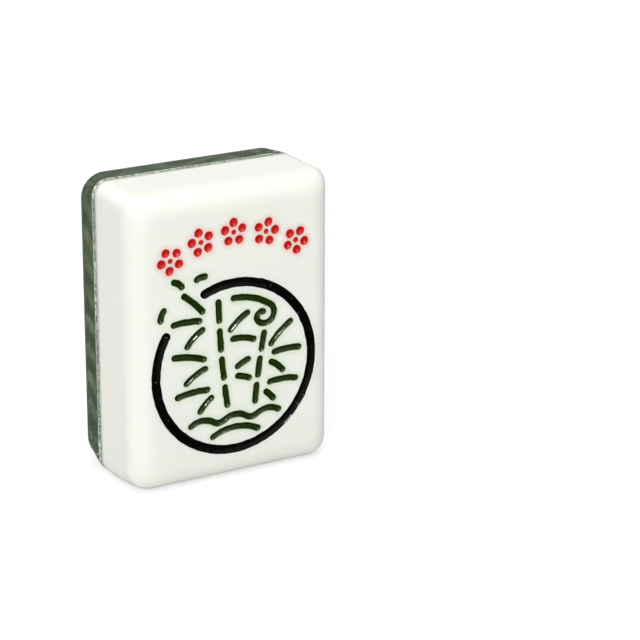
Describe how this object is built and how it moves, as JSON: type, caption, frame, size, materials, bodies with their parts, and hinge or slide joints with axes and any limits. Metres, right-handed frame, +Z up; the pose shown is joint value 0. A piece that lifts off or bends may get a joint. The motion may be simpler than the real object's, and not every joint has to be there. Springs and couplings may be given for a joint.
{
  "type": "mahjong tile",
  "caption": "Upright mahjong tile: a white block with an engraved, enamel-filled face, bonded over a chevron-printed cloth to a clear back slab with rolled edges.",
  "frame": {"origin": "middle of the box's underside, on the short end that the tile stands on", "axes": "+Z up the tile's long side, -Y out of the engraved face, +Y out of the clear back, X across the width"},
  "size_m": [0.022, 0.0124, 0.03],
  "materials": {
    "white_plastic": "polished white plastic",
    "milky_bond": "milky set bond",
    "cloth": "fine pale green cloth",
    "cloth_print": "green print with the weave showing",
    "clear_bond": "clear set bond",
    "clear_plastic": "polished clear plastic",
    "black_enamel": "glossy black enamel",
    "red_enamel": "glossy red enamel",
    "green_enamel": "glossy dark green enamel"
  },
  "bodies": {
    "root": {"face_block": "white_plastic", "block_bond": "milky_bond", "pattern_cloth": "cloth", "chevron_print": "cloth_print", "slab_bond": "clear_bond", "back_slab": "clear_plastic", "ring_enamel": "black_enamel", "blossom_enamel_1": "red_enamel", "blossom_enamel_2": "red_enamel", "blossom_enamel_3": "red_enamel", "blossom_enamel_4": "red_enamel", "blossom_enamel_5": "red_enamel", "tall_cane_enamel": "green_enamel", "short_cane_enamel": "green_enamel", "crown_leaf_enamel": "green_enamel", "left_leaf_enamel": "green_enamel", "low_leaf_enamel": "green_enamel", "middle_leaf_enamel": "green_enamel", "inner_leaf_enamel": "green_enamel", "right_leaf_enamel": "green_enamel", "foot_leaf_enamel": "green_enamel", "loose_leaf_enamel": "green_enamel", "cloud_enamel": "green_enamel", "hill_enamel": "green_enamel", "bank_enamel": "green_enamel"}
  },
  "joints": []
}
